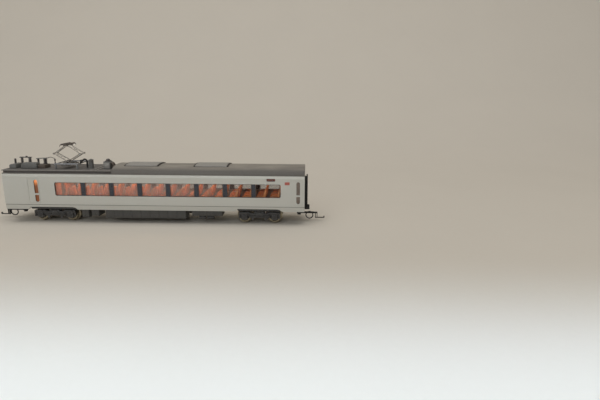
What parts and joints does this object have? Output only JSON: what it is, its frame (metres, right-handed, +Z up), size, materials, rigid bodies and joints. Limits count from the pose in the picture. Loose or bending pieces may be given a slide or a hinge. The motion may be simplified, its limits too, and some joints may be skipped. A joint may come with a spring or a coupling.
{
  "type": "model passenger coach",
  "caption": "Slim model railway coach with lit interior, diamond pantograph on a low roof deck, swivelling four-wheel bogies and hook couplers",
  "frame": {"origin": "centre of the coach at the lowest points of the wheel flanges, which is the centre of the box's bottom face", "axes": "+X along the coach, away from the pantograph end; +Y across it; +Z up"},
  "size_m": [0.1562, 0.0196, 0.0361],
  "materials": {
    "body_paint": "satin ivory paint on moulded plastic",
    "roof_plastic": "matt warm grey",
    "deck_plastic": "matt dark grey",
    "cover_plastic": "matt mid grey",
    "glazing": "clear moulded styrene",
    "sign_lens": "smoked red-brown clear styrene",
    "marker_red": "satin red",
    "seat_plastic": "matt orange-brown moulding",
    "light_guide": "clear acrylic",
    "light_board": "green board with a lamp",
    "steel": "bare steel",
    "copper": "bright copper strip",
    "underframe_plastic": "matt near black",
    "equipment_plastic": "matt dark grey",
    "rubber_black": "matt black",
    "roof_gear_plastic": "matt grey",
    "insulator_dark": "satin dark brown-grey",
    "pantograph_metal": "satin grey metal",
    "contact_strip": "dark worn metal",
    "wire_dark": "dark wire",
    "wheel_metal": "blackened brass with a bright tread"
  },
  "bodies": {
    "coach": {"body_shell": "body_paint", "roof_shell": "roof_plastic", "pantograph_deck": "deck_plastic", "aircon_cover_1": "cover_plastic", "aircon_cover_2": "cover_plastic", "window_glazing_near": "glazing", "window_glazing_far": "glazing", "door_glazing": "glazing", "sign_lenses": "sign_lens", "marker_plates": "marker_red", "seat_tray": "seat_plastic", "light_guide_bar": "light_guide", "light_unit": "light_board", "ballast_weight": "steel", "power_strips": "copper", "underframe": "underframe_plastic", "equipment_box_1": "equipment_plastic", "equipment_box_2": "equipment_plastic", "equipment_box_3": "equipment_plastic", "equipment_box_4": "equipment_plastic", "air_tanks": "underframe_plastic", "gangway_front": "rubber_black", "gangway_rear": "rubber_black", "coupler_covers": "underframe_plastic", "coupler_springs": "steel", "low_box": "roof_gear_plastic", "arrester_rod": "insulator_dark", "switch_frame": "insulator_dark", "breaker_box": "roof_gear_plastic", "busbar_stand": "insulator_dark", "pantograph_lead": "wire_dark", "arrester_cylinder": "roof_gear_plastic", "junction_box": "roof_gear_plastic", "roof_pipes": "insulator_dark", "deck_ducts": "deck_plastic", "hv_lead": "rubber_black", "pantograph_insulators": "insulator_dark", "pantograph_base": "pantograph_metal", "lift_springs": "steel"},
    "lower_arm_right": {"lower_arm_right": "pantograph_metal"},
    "upper_arm_right": {"upper_arm_right": "pantograph_metal"},
    "lower_arm_left": {"lower_arm_left": "pantograph_metal"},
    "upper_arm_left": {"upper_arm_left": "pantograph_metal"},
    "pantograph_head": {"pantograph_head": "contact_strip"},
    "bogie_front": {"bogie_frame_front": "underframe_plastic", "bogie_contacts_front": "copper"},
    "bogie_rear": {"bogie_frame_rear": "underframe_plastic", "bogie_contacts_rear": "copper"},
    "wheelset_1": {"axle_1": "steel", "wheels_1": "wheel_metal"},
    "wheelset_2": {"axle_2": "steel", "wheels_2": "wheel_metal"},
    "wheelset_3": {"axle_3": "steel", "wheels_3": "wheel_metal"},
    "wheelset_4": {"axle_4": "steel", "wheels_4": "wheel_metal"},
    "coupler_front": {"coupler_front": "rubber_black", "hose_loop_front": "rubber_black"},
    "coupler_rear": {"coupler_rear": "rubber_black", "hose_loop_rear": "rubber_black"}
  },
  "joints": [
    {"name": "pantograph_lift", "type": "hinge", "parent": "coach", "child": "lower_arm_right", "pos_m": [-0.0428, 0, 0.0271], "axis": [0, -1, 0], "range_deg": [-24, 12]},
    {"name": "knee_right", "type": "hinge", "parent": "lower_arm_right", "child": "upper_arm_right", "pos_m": [-0.0357, 0, 0.0313], "axis": [0, -1, 0], "range_deg": [-27, 53]},
    {"name": "head_level", "type": "hinge", "parent": "upper_arm_right", "child": "pantograph_head", "pos_m": [-0.0413, 0, 0.03507], "axis": [0, -1, 0], "range_deg": [-27, 14]},
    {"name": "lift_left", "type": "hinge", "parent": "coach", "child": "lower_arm_left", "pos_m": [-0.041, 0, 0.0271], "axis": [0, 1, 0], "range_deg": [-24.5, 12.5]},
    {"name": "knee_left", "type": "hinge", "parent": "lower_arm_left", "child": "upper_arm_left", "pos_m": [-0.0481, 0, 0.0313], "axis": [0, 1, 0], "range_deg": [-27, 53]},
    {"name": "bogie_front_swivel", "type": "hinge", "parent": "coach", "child": "bogie_front", "pos_m": [-0.0477, 0, 0.0076], "axis": [0, 0, 1], "range_deg": [-12, 12]},
    {"name": "bogie_rear_swivel", "type": "hinge", "parent": "coach", "child": "bogie_rear", "pos_m": [0.0477, 0, 0.0076], "axis": [0, 0, 1], "range_deg": [-12, 12]},
    {"name": "axle_1_spin", "type": "hinge", "parent": "bogie_front", "child": "wheelset_1", "pos_m": [-0.0547, 0, 0.00355], "axis": [0, 1, 0], "continuous": true},
    {"name": "axle_2_spin", "type": "hinge", "parent": "bogie_front", "child": "wheelset_2", "pos_m": [-0.0407, 0, 0.00355], "axis": [0, 1, 0], "continuous": true},
    {"name": "axle_3_spin", "type": "hinge", "parent": "bogie_rear", "child": "wheelset_3", "pos_m": [0.0407, 0, 0.00355], "axis": [0, 1, 0], "continuous": true},
    {"name": "axle_4_spin", "type": "hinge", "parent": "bogie_rear", "child": "wheelset_4", "pos_m": [0.0547, 0, 0.00355], "axis": [0, 1, 0], "continuous": true},
    {"name": "coupler_front_swing", "type": "hinge", "parent": "coach", "child": "coupler_front", "pos_m": [-0.066, 0, 0.00405], "axis": [0, 0, 1], "range_deg": [-18, 18], "stiffness_Nm_per_rad": 0.00002},
    {"name": "coupler_rear_swing", "type": "hinge", "parent": "coach", "child": "coupler_rear", "pos_m": [0.066, 0, 0.00405], "axis": [0, 0, 1], "range_deg": [-18, 18], "stiffness_Nm_per_rad": 0.00002}
  ],
  "couplings": [
    {"joint": "knee_right", "follows": "pantograph_lift", "ratio": -2.1055},
    {"joint": "head_level", "follows": "pantograph_lift", "ratio": 1.1055},
    {"joint": "lift_left", "follows": "pantograph_lift", "ratio": 1},
    {"joint": "knee_left", "follows": "pantograph_lift", "ratio": -2.1055}
  ]
}
